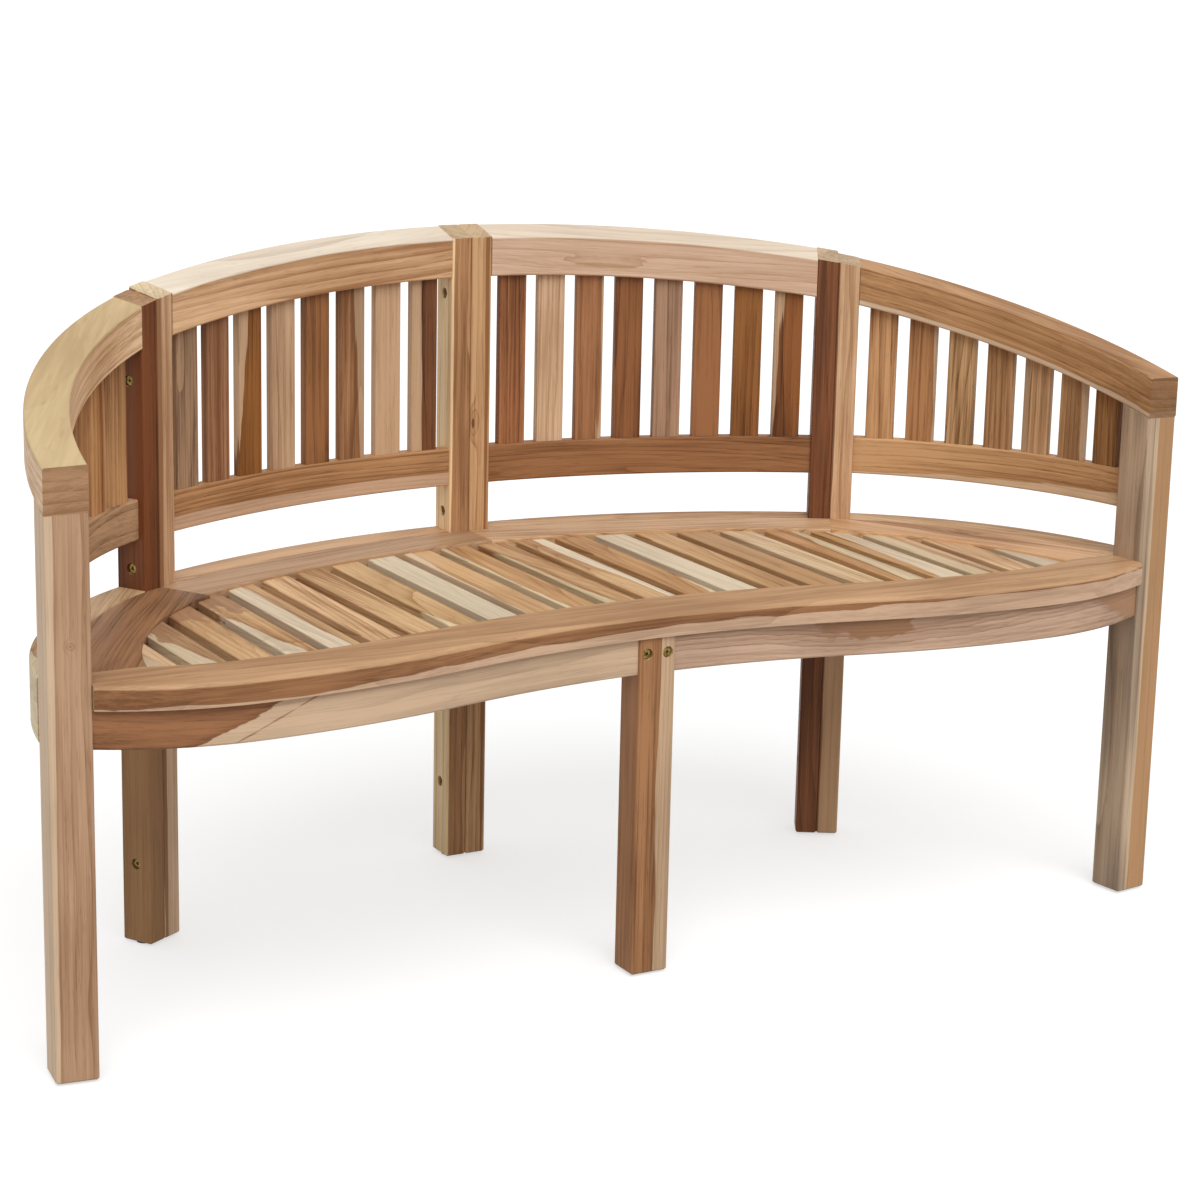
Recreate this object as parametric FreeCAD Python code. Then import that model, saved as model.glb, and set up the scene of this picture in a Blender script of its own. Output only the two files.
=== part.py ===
import FreeCAD, Part
import math
import os

os.makedirs("parts", exist_ok=True)
Vec = FreeCAD.Vector

# Overall sizes of the bench, in millimetres
overall_width = 1524.0
overall_depth = 612.0
overall_height = 858.0
seat_height = 456.0

# Plan of the curved back, measured on the front faces of its posts and rails
back_radius = 962.0
side_pair_share = 0.6378
back_post_width = 29.0
back_post_depth = 44.0
end_bulge = 46.0
end_outer_bulge = 54.0

# Front posts and the leg in the middle of the front
front_post_size = 49.0
front_post_setback = 50.0
front_post_turn = math.radians(7.0)
middle_leg_width = 50.0
middle_leg_depth = 44.0
middle_leg_setback = 4.0

# The top of the back rises towards the rear, and its end panels lean outwards a little
top_slope = math.radians(16.0)
end_top_tilt = math.radians(4.5)
top_rail_height = 52.0
lower_rail_rise = 62.0
lower_rail_height = 50.0
lower_rail_thickness = 20.0
middle_lower_setback = 5.0
end_lower_setback = 10.0
seat_rail_height = 74.0

# Front edge of the seat, a double wave in plan
wave_depth = 64.0
wave_crest_share = 0.702
wave_end_setback = 44.0

# Seat frame boards
board_thickness = 28.0
front_board_width = 80.0
middle_board_width = 67.0
end_board_width = 74.0
board_joint_gap = 0.6
groove_height = 10.0
groove_depth = 12.0

# Seat slats
seat_slat_count = 23
last_seat_slat_share = 0.8084
seat_slat_width = 41.0
seat_slat_thickness = 24.0
seat_slat_drop = 4.0

# Back slats
middle_slat_count = 8
end_slat_count = 7
back_slat_width = 38.0
back_slat_thickness = 12.0
back_slat_tenon = 10.0
front_post_slat_margin = 5.0

# Rails and bearers under the seat
apron_thickness = 22.0
apron_setback = 8.0
centre_bearer_width = 56.0
side_bearer_width = 30.0
side_bearer_share = 0.5643

# Rail tenons in the posts
tenon_length = 16.0
tenon_thickness = 14.0
lower_tenon_thickness = 10.0
tenon_shoulder = 9.0
joint_clearance = 0.2
mortise_end_room = 1.0

# Bolts, sleeve nuts and their recesses
bolt_diameter = 6.0
bolt_head_diameter = 12.0
bolt_head_height = 3.0
bolt_hex_size = 4.0
bolt_hex_depth = 2.0
bolt_recess_diameter = 14.0
bolt_recess_depth = 6.0
bolt_clearance = 0.25
bolt_end_room = 1.0
sleeve_diameter = 9.0
sleeve_length = 22.0
foot_bolt_rise = 105.0
seat_bolt_rise = 25.0
centre_top_bolt_drop = 86.0
side_top_bolt_drop = 147.0
leg_bolt_spacing = 28.0
leg_bolt_drop = 20.0
leg_bolt_reach = 36.0

# Feet and softened edges, and the limits by which an edge is picked
glide_height = 3.0
glide_diameter = 20.0
foot_chamfer = 2.0
post_edge = 3.0
rail_edge = 2.5
nosing_radius = 6.0
board_edge = 2.0
slat_edge = 1.5
same_place = 0.01
near_arc = 1.0
short_edge = 20.0

# Places worked out from the sizes above
half_width = overall_width / 2
side_pair_x = half_width * side_pair_share
wave_crest_x = half_width * wave_crest_share
side_bearer_x = half_width * side_bearer_share
seat_slat_pitch = overall_width * last_seat_slat_share / (seat_slat_count - 1)
above_all = overall_height + top_rail_height
front_edge_y = -overall_depth / 2
back_face_y = overall_depth / 2 - back_post_depth
board_bottom = seat_height - board_thickness
rail_bottom = seat_height - seat_rail_height
lower_rail_bottom = seat_height + lower_rail_rise
lower_rail_top = lower_rail_bottom + lower_rail_height
slat_top = seat_height - seat_slat_drop
slat_bottom = slat_top - seat_slat_thickness
tongue_middle = (slat_top + slat_bottom) / 2
leg_front_y = front_edge_y + wave_depth + middle_leg_setback
leg_back_y = leg_front_y + middle_leg_depth
apron_back = apron_setback + apron_thickness
low_bolt_heights = (foot_bolt_rise, seat_height + seat_bolt_rise)
centre_bolt_heights = (*low_bolt_heights, overall_height - centre_top_bolt_drop)
side_bolt_heights = (*low_bolt_heights, overall_height - side_top_bolt_drop)


def on_circle(center, radius, angle):
    # the angle is counted from +Y towards +X
    return Vec(center.x + radius * math.sin(angle), center.y + radius * math.cos(angle), 0)


def arc(center, radius, start, end):
    ends = [on_circle(center, radius, angle) for angle in (start, (start + end) / 2, end)]
    return Part.Arc(*ends).toShape()


def line(start, end):
    return Part.LineSegment(start, end).toShape()


def prism(edges, low, high):
    face = Part.Face(Part.Wire(edges))
    face.translate(Vec(0, 0, low))
    return face.extrude(Vec(0, 0, high - low))


def polygon_prism(points, low, high):
    return prism([line(a, b) for a, b in zip(points, points[1:] + points[:1])], low, high)


def block(x_low, x_high, y_low, y_high, z_low, z_high):
    size = (x_high - x_low, y_high - y_low, z_high - z_low)
    return Part.makeBox(*size, Vec(x_low, y_low, z_low))


def mirrored(shape):
    return shape.mirror(Vec(0, 0, 0), Vec(1, 0, 0))


def eased(shape, radius, wanted):
    # rounds the edges that the test accepts
    edges = [edge for edge in shape.Edges if wanted(edge)]
    return shape.makeFillet(radius, edges)


def is_upright(edge):
    box = edge.BoundBox
    return box.ZLength > short_edge and max(box.XLength, box.YLength) < same_place


def grain_length(edge):
    box = edge.BoundBox
    return math.hypot(box.XLength, box.YLength)


across = Vec(1, 0, 0)
rearward = Vec(0, 1, 0)

# The right front post in plan: its inner front corner and the directions of its sides
post_across = Vec(math.cos(front_post_turn), math.sin(front_post_turn), 0)
post_rearward = Vec(-math.sin(front_post_turn), math.cos(front_post_turn), 0)
post_corner = Vec(half_width - front_post_size * post_across.x,
                  front_edge_y + front_post_setback, 0)
post_outer_corner = post_corner + post_across * front_post_size
post_rear_corner = post_corner + post_rearward * front_post_size
post_outer_rear_corner = post_rear_corner + post_across * front_post_size

# The plan line of the back: one arc across the two middle panels, a short straight
# across the outer post of each side pair, then an arc that bulges out to the front post
middle_center = Vec(0, back_face_y - back_radius, 0)
side_angle = math.asin(side_pair_x / back_radius)
side_normal = Vec(math.sin(side_angle), math.cos(side_angle), 0)
side_tangent = Vec(math.cos(side_angle), -math.sin(side_angle), 0)
side_joint = on_circle(middle_center, back_radius, side_angle)
end_start = side_joint + side_tangent * back_post_width
centre_joint = Vec(0, back_face_y, 0)


def bulged_arc(start, finish, bulge):
    # centre and radius of the arc that stands out by the bulge from its chord
    chord = finish - start
    outward = Vec(-chord.y, chord.x, 0).normalize()
    radius = (chord.Length ** 2 / 4 + bulge ** 2) / (2 * bulge)
    return (start + finish) / 2 - outward * (radius - bulge), radius


end_outer_start = end_start + side_normal * back_post_depth
end_center, end_radius = bulged_arc(end_start, post_corner, end_bulge)
end_outer_center, end_outer_radius = bulged_arc(end_outer_start, post_outer_corner, end_outer_bulge)


def angle_at(center, radius, y):
    # where a circle reaches a given depth on its right-hand side
    return math.acos((y - center.y) / radius)


def angle_of(center, point):
    # the angle of a plan point as seen from the centre of a circle
    return math.atan2(point.x - center.x, point.y - center.y)


def seam_point(depth):
    # where a parallel to the inner end arc, that far behind it, meets the side of the side pair
    along = (end_start - end_center).dot(side_normal)
    reach = math.sqrt(along ** 2 - end_radius ** 2 + (end_radius + depth) ** 2)
    return end_start + side_normal * (reach - along)


def end_arc(depth, finish_y):
    # a parallel to the inner end arc, from the side pair forward to the given depth of the bench
    radius = end_radius + depth
    return (end_center, radius, angle_of(end_center, seam_point(depth)),
            angle_at(end_center, radius, finish_y))


def top_height(x, y):
    # top of the middle panels
    return overall_height + math.tan(top_slope) * (y - overall_depth / 2)


end_chord = (post_corner - side_joint).normalize()
end_outward = Vec(-end_chord.y, end_chord.x, 0)


def end_top_height(x, y):
    # top of the right end panel
    outward = (Vec(x, y, 0) - side_joint).dot(end_outward)
    return top_height(x, y) - math.tan(end_top_tilt) * outward


def sloped_slab(height_at, upper_drop, lower_drop):
    # everything between two planes that lie below the top of a panel
    reach = overall_width
    places = [(-reach, -reach), (reach, -reach), (reach, reach), (-reach, reach)]
    corners = [Vec(x, y, height_at(x, y) - upper_drop) for x, y in places]
    face = Part.Face(Part.makePolygon(corners + corners[:1]))
    return face.extrude(Vec(0, 0, upper_drop - lower_drop))


def panel_top(panel):
    return top_height if panel == "middle" else end_top_height


# Front wave: a hollow in the middle and a crest towards each end, drawn at a
# given distance behind the front edge of the seat
wave_radius = (wave_crest_x ** 2 + wave_depth ** 2) / (4 * wave_depth)
wave_angle = math.asin(wave_crest_x / 2 / wave_radius)
wave_run_out = post_corner.x - wave_crest_x
wave_end_radius = (wave_run_out ** 2 + wave_end_setback ** 2) / (2 * wave_end_setback)
hollow_center = Vec(0, front_edge_y + wave_depth - wave_radius, 0)
crest_center = Vec(wave_crest_x, front_edge_y + wave_radius, 0)
crest_end_center = Vec(wave_crest_x, front_edge_y + wave_end_radius, 0)


def wave_end_angle(inset):
    # the curve runs on to the width of the bench, behind the front post
    return math.asin((half_width - wave_crest_x) / (wave_end_radius - inset))


def wave_right_half(inset):
    return [
        arc(hollow_center, wave_radius + inset, 0, wave_angle),
        arc(crest_center, wave_radius - inset, math.pi + wave_angle, math.pi),
        arc(crest_end_center, wave_end_radius - inset, math.pi, math.pi - wave_end_angle(inset)),
    ]


def wave_start(inset):
    return on_circle(hollow_center, wave_radius + inset, 0)


def wave_finish(inset):
    return on_circle(crest_end_center, wave_end_radius - inset, math.pi - wave_end_angle(inset))


def wave_band_right(near_inset, far_inset, low, high):
    # right half of a board that follows the wave between two insets
    edges = wave_right_half(near_inset)
    edges.append(line(wave_finish(near_inset), wave_finish(far_inset)))
    edges.extend(reversed(wave_right_half(far_inset)))
    edges.append(line(wave_start(far_inset), wave_start(near_inset)))
    return prism(Part.__sortEdges__(edges), low, high)


def behind_wave(inset, low, high):
    # the whole area behind the wave, to beyond the back
    corner = Vec(half_width, overall_depth, 0)
    edges = wave_right_half(inset)
    edges.append(line(wave_finish(inset), corner))
    edges.append(line(corner, Vec(0, overall_depth, 0)))
    edges.append(line(Vec(0, overall_depth, 0), wave_start(inset)))
    right = prism(Part.__sortEdges__(edges), low, high)
    return right.fuse(mirrored(right)).removeSplitter()


def inside_back(middle_inset, end_inset, low, high):
    # the whole area in front of the back, at given distances from its front faces
    middle_radius = back_radius - middle_inset
    top = on_circle(middle_center, middle_radius, 0)
    step = on_circle(middle_center, middle_radius, side_angle)
    seam = side_joint - side_normal * end_inset
    turn = end_arc(-end_inset, post_rear_corner.y)
    turn_end = on_circle(end_center, turn[1], turn[3])
    corner = Vec(turn_end.x, -overall_depth, 0)
    foot = Vec(0, -overall_depth, 0)
    edges = [arc(middle_center, middle_radius, 0, side_angle)]
    if middle_inset != end_inset:
        edges.append(line(step, seam))
    edges.append(line(seam, seam_point(-end_inset)))
    edges.append(arc(*turn))
    edges.append(line(turn_end, corner))
    edges.append(line(corner, foot))
    edges.append(line(foot, top))
    right = prism(edges, low, high)
    return right.fuse(mirrored(right)).removeSplitter()


def seat_opening(extra, low, high):
    # the area that the seat slats fill; extra reaches that far into the boards
    front = behind_wave(front_board_width - extra, low, high)
    back = inside_back(middle_board_width - extra, end_board_width - extra, low, high)
    return front.common(back)


def post_frame_prism(joint, tangent, normal, left, right, near, far, low, high):
    corners = [joint + tangent * a + normal * b for a, b in
               ((left, near), (right, near), (right, far), (left, far))]
    return polygon_prism(corners, low, high)


def between_front_posts(low, high):
    # right half of the space between the inner faces of the front posts
    near = post_corner - post_rearward * overall_depth
    far = post_corner + post_rearward * overall_depth
    return polygon_prism([Vec(0, near.y, 0), near, far, Vec(0, far.y, 0)], low, high)


def with_foot(shape):
    # softened foot: a small chamfer all round the bottom face
    bottom = shape.BoundBox.ZMin
    edges = [edge for edge in shape.Edges if edge.BoundBox.ZMax < bottom + same_place]
    return shape.makeChamfer(foot_chamfer, edges)


def make_back_post(joint, tangent, normal, side, panel):
    # one of a pair of posts; side is -1 for the left one and 1 for the right one
    left, right = sorted((0.0, side * back_post_width))
    post = post_frame_prism(joint, tangent, normal, left, right, 0, back_post_depth,
                            glide_height, above_all)
    post = eased(post, post_edge, is_upright)
    return with_foot(post.common(sloped_slab(panel_top(panel), 0, 2 * overall_height)))


def make_front_post():
    post = post_frame_prism(post_corner, post_across, post_rearward, 0, front_post_size,
                            0, front_post_size, glide_height, overall_height)
    post = eased(post, post_edge, is_upright)
    return with_foot(post.common(sloped_slab(end_top_height, top_rail_height, 2 * overall_height)))


def make_middle_leg():
    half = middle_leg_width / 2
    leg = block(-half, half, leg_front_y, leg_back_y, glide_height, board_bottom)
    return with_foot(eased(leg, post_edge, is_upright))


def lower_rail_middle(panel):
    # how far the middle of a lower rail, and of the slats in it, lies behind the front faces
    setback = middle_lower_setback if panel == "middle" else end_lower_setback
    return setback + lower_rail_thickness / 2


def band(inner, outer, low, high):
    # the upright block between two arcs, each given by centre, radius, start and end angle
    edges = [
        arc(*inner),
        line(on_circle(*inner[:2], inner[3]), on_circle(*outer[:2], outer[3])),
        arc(*outer[:2], outer[3], outer[2]),
        line(on_circle(*outer[:3]), on_circle(*inner[:3])),
    ]
    return prism(edges, low, high)


def middle_rail_blank(near, far, low, high):
    # right-hand middle panel: from the centre pair of posts to the side pair
    reach = overall_depth
    side = side_joint - side_tangent * back_post_width
    inner = (middle_center, back_radius + near, 0, side_angle)
    outer = (middle_center, back_radius + far, 0, side_angle)
    window = [
        Vec(back_post_width, back_face_y + reach, 0),
        Vec(back_post_width, back_face_y - reach, 0),
        side - side_normal * reach,
        side + side_normal * reach,
    ]
    return band(inner, outer, low, high).common(polygon_prism(window, low, high))


def behind_line(shape, corner, low, high):
    # keeps what lies behind the line across the front post through one of its corners
    near = corner - post_across * overall_depth
    far = corner + post_across * overall_depth
    ahead = post_rearward * -overall_depth
    return shape.cut(polygon_prism([near, far, far + ahead, near + ahead], low, high))


def end_rail_blank(corner, low, high):
    # right-hand end panel: from the side pair of posts round to the front post
    beyond = post_corner.y - front_post_size
    outer = (end_outer_center, end_outer_radius, angle_of(end_outer_center, end_outer_start),
             angle_at(end_outer_center, end_outer_radius, beyond))
    return behind_line(band(end_arc(0, beyond), outer, low, high), corner, low, high)


def lower_rail_blank(panel, low, high):
    # the lower rails are thinner than the rails above and below them
    near = lower_rail_middle(panel) - lower_rail_thickness / 2
    far = near + lower_rail_thickness
    if panel == "middle":
        return middle_rail_blank(near, far, low, high)
    beyond = post_corner.y
    blank = band(end_arc(near, beyond), end_arc(far, beyond), low, high)
    return behind_line(blank, post_rear_corner, low, high)


def long_eased(shape, radius):
    # rounds the long edges that run with the grain of a curved rail
    longest = max(grain_length(edge) for edge in shape.Edges)
    return eased(shape, radius, lambda edge: grain_length(edge) > longest / 2)


def tenon(kind, panel, joint, into, normal, post_name, grow=0.0, extra=0.0):
    # tongue that enters a post, centred in the thickness of its rail
    low, high = rail_heights(kind, joint)
    if kind == "lower":
        middle = lower_rail_middle(panel)
        half = lower_tenon_thickness / 2 + grow
        if post_name == "front":
            middle = front_post_size - middle
    else:
        middle = back_post_depth / 2
        half = tenon_thickness / 2 + grow
    return post_frame_prism(joint, into, normal, 0, tenon_length + extra,
                            middle - half, middle + half, low - grow, high + grow)


def rail_tenon_places():
    # where the rails of the right half enter their posts: point, direction into the
    # post and direction to the rear, with the name of the post that is entered
    centre = (centre_joint + across * back_post_width, across * -1, rearward, "centre")
    inner = (side_joint - side_tangent * back_post_width, side_tangent, side_normal, "inner")
    outer = (end_start, side_tangent * -1, side_normal, "outer")
    front = (post_outer_rear_corner, post_rearward * -1, post_across * -1, "front")
    return {"middle": (centre, inner), "end": (outer, front)}


def rail_heights(kind, joint):
    # lower and upper faces of a rail's tenon at a joint
    if kind == "seat":
        low, high = rail_bottom, seat_height
    elif kind == "lower":
        low, high = lower_rail_bottom, lower_rail_top
    else:
        high = top_height(joint.x, joint.y)
        low = high - top_rail_height
    return low + tenon_shoulder, high - tenon_shoulder


def joins(kind, post_name):
    # the top rail rests on the front post instead of entering it
    return not (kind == "top" and post_name == "front")


def add_tenons(rail, kind, panel):
    for joint, into, normal, post_name in rail_tenon_places()[panel]:
        if joins(kind, post_name):
            rail = rail.fuse(tenon(kind, panel, joint, into, normal, post_name))
    return rail.removeSplitter()


def cut_mortises(post, wanted):
    for panel in ("middle", "end"):
        for joint, into, normal, post_name in rail_tenon_places()[panel]:
            for kind in ("seat", "lower", "top"):
                if post_name == wanted and joins(kind, post_name):
                    post = post.cut(tenon(kind, panel, joint, into, normal, post_name,
                                          joint_clearance, mortise_end_room))
    return post


def back_slat(panel, center, radius, angle, grow):
    # one upright slat of the back, let into the rails above and below it
    middle = on_circle(center, radius, angle)
    normal = Vec(math.sin(angle), math.cos(angle), 0)
    tangent = Vec(math.cos(angle), -math.sin(angle), 0)
    half_width = back_slat_width / 2 + grow
    half_depth = back_slat_thickness / 2 + grow
    slat = post_frame_prism(middle, tangent, normal, -half_width, half_width,
                            -half_depth, half_depth,
                            lower_rail_top - back_slat_tenon, above_all)
    reach = top_rail_height - back_slat_tenon
    if grow > 0:
        reach -= mortise_end_room
    else:
        slat = eased(slat, slat_edge, is_upright)
    return slat.common(sloped_slab(panel_top(panel), reach, 2 * overall_height))


def slat_angles(radius, start, end, count):
    # equal gaps between the slats and at both ends of the row
    width = back_slat_width / radius
    gap = (end - start - count * width) / (count + 1)
    return [start + gap + width / 2 + i * (width + gap) for i in range(count)]


def panel_slats(panel, grow):
    # grow is the clearance when the slats are cut out of the rails
    if panel == "middle":
        center = middle_center
        radius = back_radius + lower_rail_middle(panel)
        margin = math.asin(back_post_width / radius)
        start, end = margin, side_angle - margin
        count = middle_slat_count
    else:
        center, radius, start, end = end_arc(lower_rail_middle(panel), post_rear_corner.y)
        end -= front_post_slat_margin / radius
        count = end_slat_count
    angles = slat_angles(radius, start, end, count)
    return [back_slat(panel, center, radius, angle, grow) for angle in angles]


def rail_blank(panel, corner, low, high):
    if panel == "middle":
        return middle_rail_blank(0, back_post_depth, low, high)
    return end_rail_blank(corner, low, high)


def make_top_rail(panel):
    # its outer end lies on the front post, flush with the front of the post
    blank = rail_blank(panel, post_corner, lower_rail_top, above_all)
    blank = blank.common(sloped_slab(panel_top(panel), 0, top_rail_height))
    rail = add_tenons(long_eased(blank, rail_edge), "top", panel)
    return rail.cut(Part.makeCompound(panel_slats(panel, joint_clearance)))


def make_lower_rail(panel):
    low, high = lower_rail_bottom, lower_rail_top
    blank = lower_rail_blank(panel, low, high)
    rail = add_tenons(long_eased(blank, rail_edge), "lower", panel)
    return rail.cut(Part.makeCompound(panel_slats(panel, joint_clearance)))


def make_seat_rail(panel):
    low, high = rail_bottom, seat_height
    blank = rail_blank(panel, post_rear_corner, low, high)
    return add_tenons(long_eased(blank, post_edge), "seat", panel)


def seat_groove():
    half = groove_height / 2
    return seat_opening(groove_depth, tongue_middle - half, tongue_middle + half)


def make_front_board(groove):
    # its ends butt on the front posts, and the end boards start behind them
    inner = end_arc(-end_board_width, post_rear_corner.y)
    corner = on_circle(*inner[:2], inner[3])
    right = wave_band_right(0, front_board_width, board_bottom, seat_height)
    right = right.common(between_front_posts(board_bottom, seat_height))
    right = right.cut(block(corner.x, overall_width, post_rear_corner.y, overall_depth,
                            board_bottom, seat_height))
    right = right.cut(end_board_blank(0))
    right = right.cut(end_rail_blank(post_rear_corner, board_bottom, seat_height))
    board = right.fuse(mirrored(right)).removeSplitter()
    rounded = [edge for edge in board.Edges if is_nosing(edge)]
    return board.makeFillet(nosing_radius, rounded).cut(groove)


def is_nosing(edge):
    # top outer edge of the front board
    box = edge.BoundBox
    if box.ZMin < seat_height - same_place or grain_length(edge) < short_edge:
        return False
    middle = edge.valueAt((edge.FirstParameter + edge.LastParameter) / 2)
    return distance_behind_front(abs(middle.x), middle.y) < near_arc


def distance_behind_front(x, y):
    # how far a plan point lies behind the front edge of the seat, by arc
    if x < wave_crest_x / 2:
        return math.hypot(x, y - hollow_center.y) - wave_radius
    if x < wave_crest_x:
        return wave_radius - math.hypot(x - wave_crest_x, y - crest_center.y)
    return wave_end_radius - math.hypot(x - wave_crest_x, y - crest_end_center.y)


def middle_board_blank():
    inner = (middle_center, back_radius - middle_board_width, 0, side_angle)
    outer = (middle_center, back_radius - board_joint_gap, 0, side_angle)
    return band(inner, outer, board_bottom, seat_height)


def end_board_blank(gap):
    # it runs on across the outer post of the side pair
    inner = end_arc(-end_board_width, post_rear_corner.y)
    outer = end_arc(-gap, post_rear_corner.y)
    near = side_joint - side_normal * end_board_width
    far = side_joint - side_normal * gap
    edges = [
        line(near, seam_point(-end_board_width)),
        arc(*inner),
        line(on_circle(*inner[:2], inner[3]), on_circle(*outer[:2], outer[3])),
        arc(*outer[:2], outer[3], outer[2]),
        line(seam_point(-gap), far),
        line(far, near),
    ]
    return prism(edges, board_bottom, seat_height)


def is_board_inner_top(edge, radius_center, radius):
    box = edge.BoundBox
    if box.ZMin < seat_height - same_place or grain_length(edge) < short_edge:
        return False
    middle = edge.valueAt((edge.FirstParameter + edge.LastParameter) / 2)
    from_center = math.hypot(middle.x - radius_center.x, middle.y - radius_center.y)
    return abs(from_center - radius) < near_arc


def make_middle_board(groove):
    inner = back_radius - middle_board_width
    board = middle_board_blank()
    board = eased(board, board_edge, lambda edge: is_board_inner_top(edge, middle_center, inner))
    return board.cut(groove)


def make_end_board(groove):
    inner = end_radius - end_board_width
    board = end_board_blank(board_joint_gap)
    board = eased(board, board_edge, lambda edge: is_board_inner_top(edge, end_center, inner))
    post = post_frame_prism(post_corner, post_across, post_rearward, 0, front_post_size,
                            0, front_post_size, board_bottom, seat_height)
    return board.cut(groove).cut(post)


def make_seat_slat(number, opening, tongues):
    x = (number - (seat_slat_count + 1) / 2) * seat_slat_pitch
    half = seat_slat_width / 2
    strip = block(x - half, x + half, -overall_depth / 2, overall_depth / 2, slat_bottom, slat_top)
    strip = eased(strip, slat_edge, lambda edge: edge.BoundBox.YLength > seat_slat_width
                  and edge.BoundBox.ZMin > slat_top - same_place)
    body = strip.common(opening)
    return body.fuse(strip.common(tongues)).removeSplitter()


def make_apron():
    apron = wave_band_right(apron_setback, apron_back, rail_bottom, board_bottom)
    leg = block(0, middle_leg_width / 2, -overall_depth, overall_depth, rail_bottom, board_bottom)
    apron = apron.common(between_front_posts(rail_bottom, board_bottom)).cut(leg)
    return eased(apron, post_edge, lambda edge: edge.BoundBox.ZMax < rail_bottom + same_place
                 and grain_length(edge) > 2 * apron_thickness)


def make_centre_bearer():
    half = centre_bearer_width / 2
    return block(-half, half, leg_back_y, back_face_y, rail_bottom, board_bottom)


def make_side_bearer():
    left = side_bearer_x - side_bearer_width / 2
    right = side_bearer_x + side_bearer_width / 2
    beam = block(left, right, -overall_depth / 2, overall_depth / 2, rail_bottom, board_bottom)
    beam = beam.common(behind_wave(apron_back, rail_bottom, board_bottom))
    return beam.common(inside_back(0, 0, rail_bottom, board_bottom))


def cylinder(diameter, start, direction, length):
    return Part.makeCylinder(diameter / 2, length, start, direction)


def bolt_places():
    # start on the outer face of the wood, direction of the bolt, thickness joined, nut or not
    places = []
    middle = back_post_depth / 2
    left_centre = centre_joint - across * back_post_width + rearward * middle
    for height in centre_bolt_heights:
        places.append((left_centre + Vec(0, 0, height), across, 2 * back_post_width, True))
    right_side = end_start + side_normal * middle
    left_side = Vec(-right_side.x, right_side.y, 0)
    inward = Vec(side_tangent.x, -side_tangent.y, 0)
    for height in side_bolt_heights:
        places.append((right_side + Vec(0, 0, height), side_tangent * -1, 2 * back_post_width, True))
        places.append((left_side + Vec(0, 0, height), inward, 2 * back_post_width, True))
    for side in (-0.5, 0.5):
        start = Vec(side * leg_bolt_spacing, leg_front_y, board_bottom - leg_bolt_drop)
        places.append((start, rearward, middle_leg_depth + leg_bolt_reach, False))
    return places


def hexagon_cut(start, direction):
    # six-sided socket in the face of a bolt head
    hexagon = [Vec(bolt_hex_size / math.sqrt(3) * math.cos(i * math.pi / 3),
                   bolt_hex_size / math.sqrt(3) * math.sin(i * math.pi / 3), 0) for i in range(6)]
    socket = polygon_prism(hexagon, 0, bolt_hex_depth)
    turn = FreeCAD.Rotation(Vec(0, 0, 1), direction)
    socket.Placement = FreeCAD.Placement(start, turn)
    return socket


def make_bolt(start, direction, joined, has_nut):
    seat = start + direction * (bolt_recess_depth - bolt_head_height)
    head = cylinder(bolt_head_diameter, seat, direction, bolt_head_height)
    head = head.cut(hexagon_cut(seat, direction))
    end_room = bolt_recess_depth + bolt_end_room if has_nut else 0.0
    length = joined - bolt_recess_depth - end_room
    shank = cylinder(bolt_diameter, start + direction * bolt_recess_depth, direction, length)
    return head.fuse(shank).removeSplitter()


def make_sleeve_nut(start, direction, joined):
    # threaded sleeve with a flat head, on the far side of the pair of posts
    far = start + direction * (joined - bolt_recess_depth)
    head = cylinder(bolt_head_diameter, far, direction, bolt_head_height)
    head = head.cut(hexagon_cut(far + direction * bolt_head_height, direction * -1))
    sleeve = cylinder(sleeve_diameter, far - direction * sleeve_length, direction, sleeve_length)
    bore = cylinder(bolt_diameter + 2 * bolt_clearance, far - direction * sleeve_length,
                    direction, sleeve_length)
    return head.fuse(sleeve.cut(bore)).removeSplitter()


def bolt_void(start, direction, joined, has_nut):
    # the recesses, the bore of the bolt and the wider bore of its sleeve
    recess = cylinder(bolt_recess_diameter, start, direction, bolt_recess_depth)
    bore = cylinder(bolt_diameter + 2 * bolt_clearance, start, direction, joined)
    void = recess.fuse(bore)
    if has_nut:
        far = start + direction * (joined - bolt_recess_depth)
        void = void.fuse(cylinder(bolt_recess_diameter, far, direction, bolt_recess_depth))
        depth = sleeve_length + bolt_end_room
        width = sleeve_diameter + 2 * bolt_clearance
        void = void.fuse(cylinder(width, far - direction * depth, direction, depth))
    return void


def glide_centres():
    half = back_post_width / 2
    middle = back_post_depth / 2
    centres = [centre_joint + across * (side * half) + rearward * middle for side in (-1, 1)]
    for side in (-1, 1):
        right = side_joint + side_tangent * (side * half) + side_normal * middle
        centres.extend([right, Vec(-right.x, right.y, 0)])
    post = (post_corner + post_outer_rear_corner) / 2
    centres.extend([post, Vec(-post.x, post.y, 0)])
    centres.append(Vec(0, (leg_front_y + leg_back_y) / 2, 0))
    return centres


def make_glides():
    return [cylinder(glide_diameter, center, Vec(0, 0, 1), glide_height) for center in glide_centres()]


def export(name, solids):
    shape = solids[0] if len(solids) == 1 else Part.makeCompound(solids)
    shape.exportStep("parts/" + name + ".step")
    count = len(shape.Solids)
    print(name, "solids", count, "valid", shape.isValid(), "volume %.0f" % shape.Volume)


def export_pair(name, solids):
    # a piece on the right of the bench and its mirror image on the left
    export(name + "_right", solids)
    export(name + "_left", [mirrored(solid) for solid in solids])


voids = Part.makeCompound([bolt_void(*place) for place in bolt_places()])

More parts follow.
